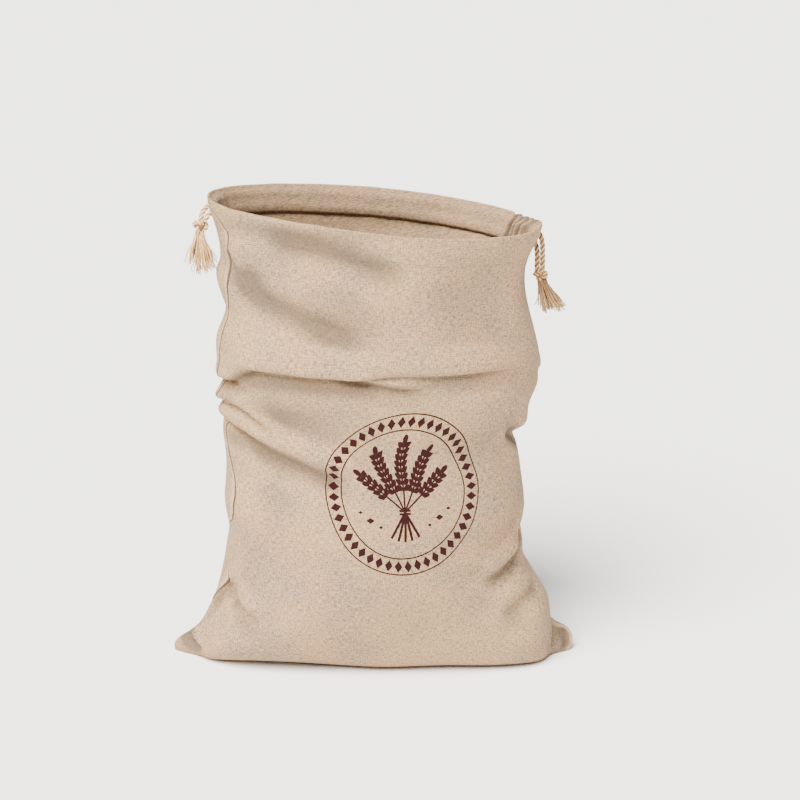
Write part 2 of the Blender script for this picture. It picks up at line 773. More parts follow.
    "baseWeave": (0.15, -0.05),  # m, which stretch of the flat cloth the base shows
    "baseEdge": (0.15, 0.3),  # m, a place far from seams and stitches
    "gatherShade": 8.0,
    "gathers": [
        ("round", "deep"),
        (319.5, 5.0),
        (328.5, 6.8),
        (338.0, 6.8),
        (347.5, 5.0),
    ],
}


def column(table, name):
    return [row[table[0].index(name)] for row in table[1:]]


def along(table, key, name, at):
    # a smooth curve through one column of a table
    x = np.array(column(table, key), float)
    y = np.array(column(table, name), float)
    step, rise = np.diff(x), np.diff(y)
    lean = np.zeros_like(y)
    lean[1:-1] = (rise[:-1] / step[:-1] * step[1:] + rise[1:] / step[1:] * step[:-1]) / (step[:-1] + step[1:])
    at = np.clip(at, x[0], x[-1])
    i = np.clip(np.searchsorted(x, at, side="right") - 1, 0, len(step) - 1)
    t = (at - x[i]) / step[i]
    h = step[i]
    return (
        (1 + 2 * t) * (1 - t) ** 2 * y[i]
        + t * (1 - t) ** 2 * h * lean[i]
        + t * t * (3 - 2 * t) * y[i + 1]
        + t * t * (t - 1) * h * lean[i + 1]
    )


def smooth(t):
    t = np.clip(t, 0.0, 1.0)
    return t * t * (3 - 2 * t)


def apart(a, b):
    whole = 2 * bag["halfGirth"]
    return (a - b + bag["halfGirth"]) % whole - bag["halfGirth"]


def creaseField(path, place, z):
    # signed distance above a crease, and how much of it is left towards its ends
    best = np.full(place.shape, 1e9)
    signed = np.zeros(place.shape)
    left = np.zeros(place.shape)
    starting, ending = bag["creaseEnds"]
    start = path[0][0]
    points = [(float(apart(u, start)), float(h)) for u, h in path]
    here = apart(place, start + points[-1][0] / 2) + points[-1][0] / 2
    if points[-1][0] < points[0][0]:
        points = points[::-1]
    lengths = [math.dist(a, b) for a, b in zip(points, points[1:])]
    total, done = sum(lengths), 0.0
    for (a, b), length in zip(zip(points, points[1:]), lengths):
        du, dz = (b[0] - a[0]) / length, (b[1] - a[1]) / length
        t = np.clip((here - a[0]) * du + (z - a[1]) * dz, 0.0, length)
        offU, offZ = here - a[0] - t * du, z - a[1] - t * dz
        gap = np.hypot(offU, offZ)
        nearer = gap < best
        side = np.where(du * offZ - dz * offU >= 0, 1.0, -1.0)
        best = np.where(nearer, gap, best)
        signed = np.where(nearer, gap * side, signed)
        share = (done + t) / total
        left = np.where(nearer, smooth(share / starting) * smooth((1 - share) / ending), left)
        done += length
    return signed, left


def seamShift(u, z):
    blend = (1 - np.cos(np.pi * u / bag["halfGirth"])) / 2
    return along(bag["seams"], "z", "left", z) * (1 - blend) + along(bag["seams"], "z", "right", z) * blend


def section(place, z):
    # the plain bag without folds
    left, right = along(bag["sections"], "z", "left", z), along(bag["sections"], "z", "right", z)
    angle = np.pi * place / bag["halfGirth"]
    front, back = along(bag["sections"], "z", "front", z), along(bag["sections"], "z", "back", z)
    deep = np.where(np.sin(angle) >= 0, -front, back)
    x = (left + right) / 2 - (right - left) / 2 * np.cos(angle)
    square = along(bag["sections"], "z", "square", z)
    y = deep * np.tanh(square * np.abs(np.sin(angle))) / np.tanh(square)
    return x, y


def outwards(place, z):
    x1, y1 = section(place + 0.05, z)
    x0, y0 = section(place - 0.05, z)
    size = np.maximum(np.hypot(x1 - x0, y1 - y0), 1e-9)
    return (y1 - y0) / size, -(x1 - x0) / size


def folds(place, z):
    # how far the folds move the cloth outwards, and how far down
    roll = bag["roll"]
    far = z - along(bag["edges"], "round", "fold", place)
    bulge, hang = along(bag["edges"], "round", "bulge", place), along(bag["edges"], "round", "hang", place)
    above = np.maximum(far, 0.05)
    out = bulge * np.exp(-((np.log(above / roll["height"]) / roll["spread"]) ** 2)) * (far > 0)
    out -= roll["bite"] * bulge * np.exp(-((far / roll["biteHalf"]) ** 2))
    down = hang * np.exp(-(((far - roll["hangAt"]) / roll["hangHalf"]) ** 2))
    for name, path, rise, riseWide, bite, biteWide in bag["creases"][1:]:
        off, left = creaseField(path, place, z)
        out += left * rise * np.exp(-(((off - riseWide) / riseWide) ** 2)) * smooth(off / biteWide + 0.5)
        out -= left * bite * np.exp(-((off / biteWide) ** 2))
    for at, height, wide, high, rise in bag["swells"][1:]:
        out += rise * np.exp(-((apart(place, at) / wide) ** 2) - ((z - height) / high) ** 2)
    return out, down


def bagFace(u, z):
    # the cloth's outside with folds, seams, channel and foot
    place = u + seamShift(u, z)
    below = along(bag["edges"], "round", "mouth", place) - z
    x, y = section(place, z)
    out, down = folds(place, z)
    foot = smooth(z / bag["footHeight"])
    under, over, share = bag["hemCalm"]
    out = out * foot * (1 - share * smooth((bag["hemDepth"] + under - below) / over))
    seam = np.minimum(np.abs(apart(u, 0)), np.abs(apart(u, bag["halfGirth"])))
    seamShare = smooth((below - bag["hemDepth"]) / bag["seamStart"]) * foot
    deep, half = bag["seamGroove"]
    out = out + bag["seamRise"] * np.exp(-((seam / bag["seamHalf"]) ** 2)) * seamShare
    out = out - deep * np.exp(-((seam / half) ** 2)) * seamShare
    out = out + bag["hemCrown"] * np.exp(-(((below - bag["hemDepth"] / 2) / bag["hemCurve"]) ** 2))
    low = 1 - smooth(z / bag["footWaveHeight"])
    for at, wide, rise in bag["footWaves"][1:]:
        out = out + rise * np.exp(-((apart(place, at) / wide) ** 2)) * low
    nx, ny = outwards(place, z)
    return np.stack([x + out * nx, y + out * ny, z - down * foot], -1)


def unit(vectors):
    return vectors / np.maximum(np.linalg.norm(vectors, axis=-1, keepdims=True), 1e-9)


def hemThickness(u, below):
    # thin at its edge and its stitched line, thickest at the ends where the cord lies in it
    edgeSlope, endSlope = bag["hemSlopes"]
    end = np.minimum(np.abs(apart(u, 0)), np.abs(apart(u, bag["halfGirth"])))
    ends = smooth((bag["hemEndReach"] + endSlope - end) / endSlope)
    full = bag["hemThick"] + (bag["hemEndThick"] - bag["hemThick"]) * ends
    inside = smooth(below / edgeSlope) * smooth((bag["hemDepth"] - below) / edgeSlope)
    return bag["hemEdge"] + (full - bag["hemEdge"]) * inside


# Rows and columns of the cloth's mesh in mm, close together where the cloth bends sharply
net = {
    "mouthLevel": 345.0,  # heights at which the places along the mouth and the fold are read
    "foldLevel": 225.0,
    "besideSeam": [0.0, 0.6, 1.2, 2.1, 3.2, 4.6, 6.0, 7.4, 9.2, 11.2],
    "besideGathers": (6, 8),
    "gatherColumns": 37,
    "foot": [0.0, 0.8, 2.0, 3.6, 5.4, 7.6, 10.0, 12.6, 15.4],
    "footTop": 18.0,
    "lowTop": 169.0,
    "riseRows": 20,
    # up from the fold
    "fold": [-10, -8.6, -7.3, -6.1, -5, -4, -3.1, -2.3, -1.6, -1, -0.4, 0.2, 0.8, 1.5, 2.2, 3, 3.9]
    + [4.9, 6, 7.2, 8.5, 10, 11.7, 13.6, 15.8, 18.2, 21],
    "upperRows": 25,
    "underHem": 1.5,
    # shares of the channel's height
    "channel": [0.03, 0.07, 0.12, 0.2, 0.3, 0.4, 0.5, 0.6, 0.7, 0.8, 0.88, 0.95, 1.0],
    "rim": [0.2, 0.4, 0.6, 0.8],  # shares of the turn over the rim
}


def clothColumns():
    whole, half, step = 2 * bag["halfGirth"], bag["halfGirth"], bag["columnStep"]
    near = net["besideSeam"]
    edge = near[-1]
    first = np.linspace(edge, half - edge, round((half - 2 * edge) / step) + 1)[1:-1]
    gathers, (before, after) = column(bag["gathers"], "round"), net["besideGathers"]
    pleats = np.linspace(gathers[0] - before, gathers[-1] + after, net["gatherColumns"])
    back = np.linspace(pleats[-1], whole - edge, round((whole - edge - pleats[-1]) / step) + 1)
    around = [*near, *first, *[half - s for s in near[:0:-1]], half, *[half + s for s in near[1:]]]
    return np.array([*around, *pleats, *back[1:-1], *[whole - s for s in near[::-1]]])


def clothGrid(u):
    mouth = along(bag["edges"], "round", "mouth", u + seamShift(u, net["mouthLevel"]))
    fold = along(bag["edges"], "round", "fold", u + seamShift(u, net["foldLevel"]))
    hem = mouth - bag["hemDepth"] - net["underHem"]
    low = [np.full(u.shape, z) for z in net["foot"]]
    low += [np.full(u.shape, z) for z in np.arange(net["footTop"], net["lowTop"], bag["rowStep"])]
    pinch = [fold + d for d in net["fold"]]
    rise = [low[-1] + (pinch[0] - low[-1]) * t for t in np.linspace(0, 1, net["riseRows"])[1:-1]]
    upper = [pinch[-1] + (hem - pinch[-1]) * t for t in np.linspace(0, 1, net["upperRows"])[1:]]
    channel = [hem + (mouth - hem) * t for t in net["channel"]]
    return np.array(low + rise + pinch + upper + channel), len(channel)


def earsOut(u, z):
    # the base's pulled-out corners, one to each side
    leftHalf, rightHalf = bag["earHalves"]
    left = along(bag["ears"], "z", "left", z) * np.exp(-((apart(u, 0) / leftHalf) ** 2))
    right = along(bag["ears"], "z", "right", z) * np.exp(-((apart(u, bag["halfGirth"]) / rightHalf) ** 2))
    return right - left


def earTuck(u, z):
    # 1 along the middle of the hollow beside the right ear
    tuck = bag["earHollow"]
    rise, fall = tuck["slopes"]
    upright = smooth((z - tuck["from"]) / rise) * smooth((tuck["to"] - z) / fall)
    return np.exp(-(((u - tuck["at"]) / tuck["half"]) ** 2)) * upright


def clothHollows(u, z, innerRows):
    # how much deeper each point lies than the cloth round it, which the linen's tone follows
    place = u + seamShift(u, z)
    spots = [(1, 0), (-1, 0), (0, 1), (0, -1)]
    far, near = (sum(folds(place + a * r, z + b * r)[0] for a, b in spots) / 4 for r in bag["hollowReach"])
    hollow = (far - near) * smooth(z / bag["hollowFoot"])
    hollow += bag["footShade"] * smooth(1 - z / bag["footShadeHeight"])
    hollow += bag["tuckShade"] * earTuck(u, z)
    for at, height, wide, high, deep in bag["shades"][1:]:
        hollow += deep * np.exp(-((apart(place, at) / wide) ** 2) - ((z - height) / high) ** 2)
    # the gathers' gaps, seen from inside the mouth
    at = np.array(column(bag["gathers"], "round"))
    before, half = bag["gatherGap"]
    gaps = sum(np.exp(-(((u[0] - gap) / half) ** 2)) for gap in [at[0] - before, *(at[1:] + at[:-1]) / 2])
    return np.concatenate([hollow, np.repeat(bag["gatherShade"] * gaps[None, :], innerRows, 0)])


def clothPoints():
    # rows of points up the outside, over the rim and down the channel's inner layer
    u = clothColumns()
    z, hemRows = clothGrid(u)
    u = np.broadcast_to(u, z.shape)
    place = u + seamShift(u, z)
    below = along(bag["edges"], "round", "mouth", place) - z
    face = bagFace(u, z)
    gather = np.zeros_like(z)
    for at, deep in bag["gathers"][1:]:
        share = smooth(1 - below / bag["gatherDrop"])
        gather -= deep * np.exp(-((apart(u, at) / bag["gatherHalf"]) ** 2)) * share
    nx, ny = outwards(place, z)
    outer = face + np.stack([gather * nx, gather * ny, 0 * z], -1)
    outer[..., 0] += earsOut(u, z)
    outer[..., 1] += bag["earHollow"]["deep"] * earTuck(u, z)
    top = slice(-hemRows, None)
    uTop, zTop = u[top], z[top]
    across = bagFace(uTop + 0.5, zTop) - bagFace(uTop - 0.5, zTop)
    steady = unit(np.cross(across, bagFace(uTop, zTop + 0.5) - face[top]))
    inner = outer[top] - steady * hemThickness(uTop, below[top])[..., None]
    rimMiddle, rimHalf = (outer[-1] + inner[-1]) / 2, (outer[-1] - inner[-1]) / 2
    rim = []
    for t in net["rim"]:
        crown = np.array([0, 0, bag["hemCrown"] * math.sin(math.pi * t)])
        rim.append(rimMiddle + rimHalf * math.cos(math.pi * t) + crown)
    rows = np.concatenate([outer, np.array(rim), inner[::-1][:-2]])
    heights = np.concatenate([z, np.repeat(z[-1:], len(rim), 0), z[top][::-1][:-2]])
    return u[0], heights, rows, z.shape[0], clothHollows(u, z, len(rows) - len(z))


def inSlit(place, height):
    for start, end, low, high in bag["slits"]:
        middle = (start + end) / 2
        if start < apart(place, middle) + middle < end and low < height < high:
            return True
    return False


u, heights, rows, outerRows, hollow = clothPoints()
rowCount, columnCount = rows.shape[:2]
print("cloth worked out:", rowCount, "rows of", columnCount)

ruffle = {
    "wide": 15.0,
    "amount": 0.35,
    "fine": 6.0,
    "fineAmount": 0.14,
    "pucker": 6.5,
    "puckerHalf": 7.0,
    "puckerAmount": 0.45,
    "foot": 12.0,  # mm up to where the ruffle is full
}


def addRuffle(u, heights, rows):
    # the small unevenness that woven cloth has everywhere, and puckers along the side seams
    across = np.roll(rows, -1, 1) - np.roll(rows, 1, 1)
    normal = unit(np.cross(across, np.gradient(rows, axis=0)))
    amount = np.zeros(heights.shape)
    for r in range(rows.shape[0]):
        for c in range(rows.shape[1]):
            point = Vector(rows[r, c])
            fine = noise.noise(point / ruffle["fine"] + Vector((7.0, 3.0, 1.0)))
            amount[r, c] = ruffle["amount"] * noise.noise(point / ruffle["wide"])
            amount[r, c] += ruffle["fineAmount"] * fine
    seam = np.minimum(np.abs(apart(u, 0)), np.abs(apart(u, bag["halfGirth"])))[None, :]
    pucker = np.array([noise.noise(Vector((h / ruffle["pucker"], 0.5, 4.0))) for h in heights[:, 0]])[:, None]
    amount += ruffle["puckerAmount"] * pucker * np.exp(-((seam / ruffle["puckerHalf"]) ** 2))
    amount *= smooth(heights / ruffle["foot"])
    return rows + normal * amount[..., None]


# The print, in mm from its middle: a tied sheaf of wheat in a ring of lozenges between two thin lines
printed = {
    "place": 170.0,
    "height": 150.8,
    "flatPlace": 150.0,  # where its middle lies on the cloth laid flat
    "front": (40, 260),  # the stretch of the bag over which the climb up the cloth is averaged
    "stretch": (0.97, 1.11),
    "ring": 51.5,
    "ringSpan": 7.2,
    "lozenge": (2.9, 4.3),
    "lines": [(45.2, 46.2), (56.8, 57.8)],
    "tie": -14.0,
    # lean from upright in degrees, foot and tip of the ear along it
    "ears": [(0.0, 15.0, 51.0), (24.0, 15.0, 47.0), (48.0, 17.0, 41.0)],
    "grain": (1.85, 3.7),
    "grainOut": 2.5,
    "grainLean": 27.0,
    "grainApart": 4.8,
    "crownGrain": 1.8,  # how far past the tip the top grain sits
    "stalk": 0.65,
    "feet": [0.0, 15.0, 31.0],
    "foot": (20.0, 0.975),
    # the tie's two bands: half-length, from and to above its middle
    "bands": [(4.2, -1.9, -0.3), (4.2, 0.3, 1.9)],
    # loose grains: across, up, half-width, half-height
    "loose": [(25.5, -19.0, 3.2, 2.0), (32.5, -13.5, 1.76, 1.1), (18.0, -23.5, 1.76, 1.1)],
}


def onCloth(u, heights, rows, outerRows):
    # flat-cloth places in mm: round the bag by length along each row from the print's middle line, and up
    # from the base by the front's mean climb
    wide = np.broadcast_to(np.append(u, 2 * bag["halfGirth"]), (rows.shape[0], len(u) + 1))
    tall = np.concatenate([heights, heights[:, :1]], axis=1)
    place = wide + seamShift(wide, tall)
    closed = np.concatenate([rows, rows[:, :1]], axis=1)
    steps = np.linalg.norm(np.diff(closed, axis=1), axis=2)
    aroundFlat = np.concatenate([np.zeros((rows.shape[0], 1)), np.cumsum(steps, axis=1)], axis=1)
    girth = float(aroundFlat[outerRows // 3, -1])
    for r in range(rows.shape[0]):
        aroundFlat[r] += printed["flatPlace"] - np.interp(printed["place"], place[r], aroundFlat[r])
    front = (u > printed["front"][0]) & (u < printed["front"][1])
    climbs = np.linalg.norm(np.diff(rows, axis=0), axis=2)[:, front].mean(axis=1)
    climbed = np.concatenate([[0.0], np.cumsum(climbs)])
    level = heights[:outerRows, front].mean(axis=1)
    upFlat = np.repeat(climbed[:, None], len(u) + 1, axis=1)
    upFlat[:outerRows] = np.interp(tall[:outerRows], level, climbed[:outerRows])
    upFlat[:outerRows] += np.maximum(tall[:outerRows] - level[-1], 0.0)
    upFlat[outerRows:] += upFlat[outerRows - 1] - climbed[outerRows - 1]
    printUp = float(np.interp(printed["height"], level, climbed[:outerRows]))
    return aroundFlat, upFlat, girth, (printed["flatPlace"], printUp)


rows = addRuffle(u, heights, rows)
aroundFlat, upFlat, flatGirth, printAt = onCloth(u, heights, rows, outerRows)
uRound = np.append(u, 2 * bag["halfGirth"])
closed = np.concatenate([rows, rows[:, :1]], axis=1)
heightsRound = np.concatenate([heights, heights[:, :1]], axis=1)
mouthAt = along(bag["edges"], "round", "mouth", uRound + seamShift(uRound, net["mouthLevel"]))

drift = np.interp(heightsRound, column(bag["seamDrift"], "z"), column(bag["seamDrift"], "drift"))
drift[outerRows:] = 0.0
reach, fade = bag["driftReach"]
seamLine = uRound - drift * smooth((reach - np.abs(apart(uRound, 0))) / fade)

# a net of quads over the points, mapped to the flat cloth and to the distances from seams and mouth
bm = bmesh.new()
bmesh.ops.create_grid(bm, x_segments=columnCount, y_segments=rowCount - 1, size=1)
bm.verts.ensure_lookup_table()
flatMap, edgeMap = bm.loops.layers.uv.new("cloth"), bm.loops.layers.uv.new("edge")
perRow = columnCount + 1
hollowLayer = bm.verts.layers.float.new("hollow")
for v in bm.verts:
    r, c = divmod(v.index, perRow)
    v.co = Vector(closed[r, c]) * mm + centre * mm
    v[hollowLayer] = hollow[r, c % columnCount]
opened = []
for face in bm.faces:
    spots = [divmod(loop.vert.index, perRow) for loop in face.loops]
    for loop, (r, c) in zip(face.loops, spots):
        loop[flatMap].uv = (aroundFlat[r, c] * mm, upFlat[r, c] * mm)
        loop[edgeMap].uv = (seamLine[r, c] * mm, (mouthAt[c] - heightsRound[r, c]) * mm)
    r, c = sum(s[0] for s in spots) / 4, sum(uRound[s[1]] for s in spots) / 4
    height = sum(heightsRound[s] for s in spots) / 4
    if r < outerRows - 1 and inSlit(c, height):
        opened.append(face)
bmesh.ops.delete(bm, geom=opened, context="FACES")

# the net's two ends are joined along the left seam, and the base is closed
bm.verts.ensure_lookup_table()
byPlace = {}
for v in bm.verts:
    byPlace.setdefault(tuple(round(c * 1e6) for c in v.co), []).append(v)
bmesh.ops.weld_verts(bm, targetmap={pair[1]: pair[0] for pair in byPlace.values() if len(pair) == 2})
base = [e for e in bm.edges if e.is_boundary and all(v.co.z < 1e-6 for v in e.verts)]
bottom = bmesh.ops.contextual_create(bm, geom=base)["faces"]
bottom[0].normal_update()
if bottom[0].normal.z > 0:
    bottom[0].normal_flip()
for loop in bottom[0].loops:
    loop[flatMap].uv = loop.vert.co.xy + Vector(bag["baseWeave"])
    loop[edgeMap].uv = bag["baseEdge"]
bmesh.ops.triangulate(bm, faces=bottom, quad_method="BEAUTY", ngon_method="BEAUTY")
girth, climb = round(float(flatGirth), 1), round(float(upFlat[-1].mean()), 1)
print("cloth laid out: round", girth, "mm, up", climb, "mm")


# Undyed plain-woven linen: uneven flax threads give a heathered oatmeal colour, a dry matt surface, thick
# slubs along single threads and a few dark specks of stalk. The threads are drawn a little coarse so that
# they show; the finer weave under them is at its real size.
linenLook = {
    "threadLight": "#bfa380",
    "threadDark": "#5f452b",
    "warm": "#ad866a",
    "yellow": "#b2946c",
    "grey": "#877866",
    "fleck": "#4a3424",
    "joint": "#4a3226",
    "hollow": "#52463a",
    "ink": "#240407",
    "roughness": 0.92,
    "sheen": 0.05,
    "sheenTint": "#fff3e2",
    "specular": 0.12,
    # mm across and along the cloth before the tone changes, where the pattern starts, how fine it goes
    "patterns": [
        ("warp", 0.8, 3.4, 0.0, 2.0),
        ("weft", 3.4, 0.8, 31.0, 2.0),
        ("slub warp", 1.2, 26.0, 9.0, 1.0),
        ("slub weft", 26.0, 1.2, 17.0, 1.0),
        ("crumple", 9.0, 14.0, 53.0, 3.0),
    ],
    "threadRange": (0.77, 1.23),
    # size in mm, how fine it goes, from and to in the noise, most, colour
    "patches": [(30.0, 2.0, 0.38, 0.62, 1.0, "warm"), (62.5, 1.0, 0.45, 0.65, 0.7, "yellow")],
    "patchCover": 0.36,
    "slubRange": (0.66, 0.74),
    "slubCover": 0.3,
    "fleckApart": 9.0,
    "fleckLong": 1.6,
    "fleckEdge": (0.10, 0.05),
    "fleckRare": 0.8,  # share of the places that have none
    "fleckCover": 0.6,
    "jointBand": (0.0, 2.4),  # mm round from a side seam that the dark joint takes up
    "jointCover": {True: 0.9, False: 0.25},  # outside and inside the bag
    "ridgeBand": (-5.0, -0.2),  # the paler strip on its other side
    "ridgeCover": 0.5,
    "hollowRange": (-0.4, 3.3),
    "hollowCover": 0.72,
    "inkCover": 0.98,
    "weave": 0.9,  # mm between threads in the fine weave
    "weaveDepth": 0.25,
    "bump": 0.55,
    "relief": 0.00022,
    "crumpleBump": 0.5,
    "crumpleRelief": 0.0009,
    "stitchBelow": 19.2,  # mm from the mouth's edge to the channel's stitched line
    "stitch": (3.4, 1.1, 0.35),  # mm between stitches, half a stitch, half its width
    "stitchCover": 0.3,
}


def between(value, low, high):
    # what a Compare node takes to be 1 from low to high
    return {0: value, 1: (low + high) / 2, 2: (high - low) / 2}


def printRing(tree, inMm, parts):
    # two thin lines with lozenges between them
    radius = addNode(tree, "VectorMath", {0: inMm}, operation="LENGTH").outputs["Value"]
    shapes = []
    for low, high in printed["lines"]:
        shapes.append(addNode(tree, "Math", between(radius, low, high), operation="COMPARE"))
    turn = addNode(tree, "Math", {0: parts.outputs["Y"], 1: parts.outputs["X"]}, operation="ARCTAN2")
    step = 2 * math.pi / round(2 * math.pi * printed["ring"] / printed["ringSpan"])
    local = addNode(tree, "Math", {0: turn, 1: step / 2, 2: -step / 2}, operation="WRAP")
    alongRing = addNode(tree, "Math", {0: local, 1: printed["ring"]}, operation="MULTIPLY")
    offRing = addNode(tree, "Math", {0: radius, 1: printed["ring"]}, operation="SUBTRACT")
    lozenge = []
    for off, half in zip((alongRing, offRing), printed["lozenge"]):
        away = addNode(tree, "Math", {0: off}, operation="ABSOLUTE")
        lozenge.append(addNode(tree, "Math", {0: away, 1: half}, operation="DIVIDE"))
    total = addNode(tree, "Math", {0: lozenge[0], 1: lozenge[1]}, operation="ADD")
    shapes.append(addNode(tree, "Math", {0: total, 1: 1.0}, operation="LESS_THAN"))
    return shapes


def printSheaf(tree, folded):
    # stalks above and below the tie, and the tie's bands: lean, half-width, from and to, foot of the ear
    shapes = []
    footLong, footHalf = printed["foot"]
    stems = [(lean, printed["stalk"], 0.0, tip, foot) for lean, foot, tip in printed["ears"]]
    stems += [(-lean, footHalf, -footLong, 0.0, None) for lean in printed["feet"]]
    stems += [(0.0, half, low, high, None) for half, low, high in printed["bands"]]
    for lean, half, low, high, foot in stems:
        leaning = {"Location": (0, printed["tie"], 0), "Rotation": (0, 0, -math.radians(lean))}
        turned = addNode(tree, "Mapping", {"Vector": folded, **leaning}, vector_type="TEXTURE")
        spot = addNode(tree, "SeparateXYZ", {"Vector": turned})
        off = addNode(tree, "Math", {0: spot.outputs["X"]}, operation="ABSOLUTE")
        thin = addNode(tree, "Math", {0: off, 1: half}, operation="LESS_THAN")
        long = addNode(tree, "Math", between(spot.outputs["Y"], low, high), operation="COMPARE")
        shapes.append(addNode(tree, "Math", {0: thin, 1: long}, operation="MULTIPLY"))
        if foot is None:
            continue
        # pairs of slanting grains up the ear, and one on its tip
        apartBy = (high - foot) / round((high - foot) / printed["grainApart"])
        fromFoot = addNode(tree, "Math", {0: spot.outputs["Y"], 1: foot}, operation="SUBTRACT")
        inGrain = addNode(tree, "Math", {0: fromFoot, 1: apartBy, 2: 0.0}, operation="WRAP")
        centred = addNode(tree, "Math", {0: inGrain, 1: apartBy / 2}, operation="SUBTRACT")
        slanting = {
            "Vector": addNode(tree, "CombineXYZ", {"X": off, "Y": centred}),
            "Location": (printed["grainOut"], 0, 0),
            "Rotation": (0, 0, -math.radians(printed["grainLean"])),
            "Scale": (*printed["grain"], 1),
        }
        grain = addNode(tree, "Mapping", slanting, vector_type="TEXTURE")
        size = addNode(tree, "VectorMath", {0: grain}, operation="LENGTH").outputs["Value"]
        inside = addNode(tree, "Math", {0: size, 1: 1.0}, operation="LESS_THAN")
        onEar = addNode(tree, "Math", between(spot.outputs["Y"], foot, high), operation="COMPARE")
        shapes.append(addNode(tree, "Math", {0: inside, 1: onEar}, operation="MULTIPLY"))
        topGrain = (0, high + printed["crownGrain"], 0)
        crowning = {"Vector": turned, "Location": topGrain, "Scale": (*printed["grain"], 1)}
        crown = addNode(tree, "Mapping", crowning, vector_type="TEXTURE")
        size = addNode(tree, "VectorMath", {0: crown}, operation="LENGTH").outputs["Value"]
        shapes.append(addNode(tree, "Math", {0: size, 1: 1.0}, operation="LESS_THAN"))
    return shapes


def printMask(tree, flat):
    # 1 where there is ink; all but the ring is drawn for one half and mirrored to the other
    x0, y0 = printAt
    wideBy, tallBy = printed["stretch"]
    scale, shift = (1000 / wideBy, 1000 / tallBy, 1), (-x0 / wideBy, -y0 / tallBy, 0)
    inMm = addNode(tree, "Mapping", {"Vector": flat, "Scale": scale, "Location": shift})
    parts = addNode(tree, "SeparateXYZ", {"Vector": inMm})
    side = addNode(tree, "Math", {0: parts.outputs["X"]}, operation="ABSOLUTE")
    folded = addNode(tree, "CombineXYZ", {"X": side, "Y": parts.outputs["Y"]})
    shapes = printRing(tree, inMm, parts) + printSheaf(tree, folded)
    for x, y, halfWide, halfHigh in printed["loose"]:
        placing = {"Vector": folded, "Location": (x, y, 0), "Scale": (halfWide, halfHigh, 1)}
        spot = addNode(tree, "Mapping", placing, vector_type="TEXTURE")
        away = addNode(tree, "VectorMath", {0: spot}, operation="ABSOLUTE")
        offs = addNode(tree, "SeparateXYZ", {"Vector": away})
        total = addNode(tree, "Math", {0: offs.outputs["X"], 1: offs.outputs["Y"]}, operation="ADD")
        shapes.append(addNode(tree, "Math", {0: total, 1: 1.0}, operation="LESS_THAN"))
    mask = shapes[0]
    for shape in shapes[1:]:
        mask = addNode(tree, "Math", {0: mask, 1: shape}, operation="MAXIMUM")
    return mask


def seamMarks(tree, flat, isPrinted):
    # the side seams' ridge and joint, and the stitched line under the channel
    look = linenLook
    edge = addNode(tree, "UVMap", uv_map="edge").outputs["UV"]
    inMm = addNode(tree, "VectorMath", {0: edge, 1: (1000, 1000, 0)}, operation="MULTIPLY")
    spot = addNode(tree, "SeparateXYZ", {"Vector": inMm})
    half = bag["halfGirth"] / 2
    roundBag = addNode(tree, "Math", {0: spot.outputs["X"], 1: half, 2: -half}, operation="WRAP")
    seam = addNode(tree, "Math", between(roundBag, *look["jointBand"]), operation="COMPARE")
    seam = addNode(tree, "Math", {0: seam, 1: look["jointCover"][isPrinted]}, operation="MULTIPLY")
    ridge = addNode(tree, "Math", between(roundBag, *look["ridgeBand"]), operation="COMPARE")
    ridge = addNode(tree, "Math", {0: ridge, 1: look["ridgeCover"]}, operation="MULTIPLY")
    under = addNode(tree, "Math", {0: spot.outputs["Y"], 1: look["stitchBelow"]}, operation="SUBTRACT")
    every, half, halfWide = look["stitch"]
    inLine = addNode(tree, "Math", between(under, -halfWide, halfWide), operation="COMPARE")
    rim = addNode(tree, "SeparateXYZ", {"Vector": flat}).outputs["X"]
    rimMm = addNode(tree, "Math", {0: rim, 1: 1000}, operation="MULTIPLY")
    alongRim = addNode(tree, "Math", {0: rimMm, 1: every / 2, 2: -every / 2}, operation="WRAP")
    stitched = addNode(tree, "Math", between(alongRim, -half, half), operation="COMPARE")
    stitches = addNode(tree, "Math", {0: stitched, 1: inLine}, operation="MULTIPLY")
    stitches = addNode(tree, "Math", {0: stitches, 1: look["stitchCover"]}, operation="MULTIPLY")
    joint = addNode(tree, "Math", {0: seam, 1: stitches}, operation="MAXIMUM")
    return ridge, joint


def linenRelief(tree, flat, threads, slubs, crumple):
    # gentle crumple, then the threads themselves
    look = linenLook
    waves = addNode(tree, "Mapping", {"Vector": flat, "Scale": [2000 * math.pi / look["weave"]] * 3})
    wave = addNode(tree, "SeparateXYZ", {"Vector": waves})
    sines = [addNode(tree, "Math", {0: wave.outputs[k]}, operation="SINE") for k in ("X", "Y")]
    plain = addNode(tree, "Math", {0: sines[0], 1: sines[1]}, operation="MULTIPLY")
    plain = addNode(tree, "Math", {0: plain, 1: look["weaveDepth"]}, operation="MULTIPLY")
    height = addNode(tree, "Math", {0: threads, 1: slubs}, operation="ADD")
    height = addNode(tree, "Math", {0: height, 1: plain}, operation="ADD")
    gentle = {"Strength": look["crumpleBump"], "Distance": look["crumpleRelief"]}
    soft = addNode(tree, "Bump", {"Height": crumple, **gentle}).outputs["Normal"]
    weaving = {"Height": height, "Strength": look["bump"], "Distance": look["relief"], "Normal": soft}
    return addNode(tree, "Bump", weaving).outputs["Normal"]


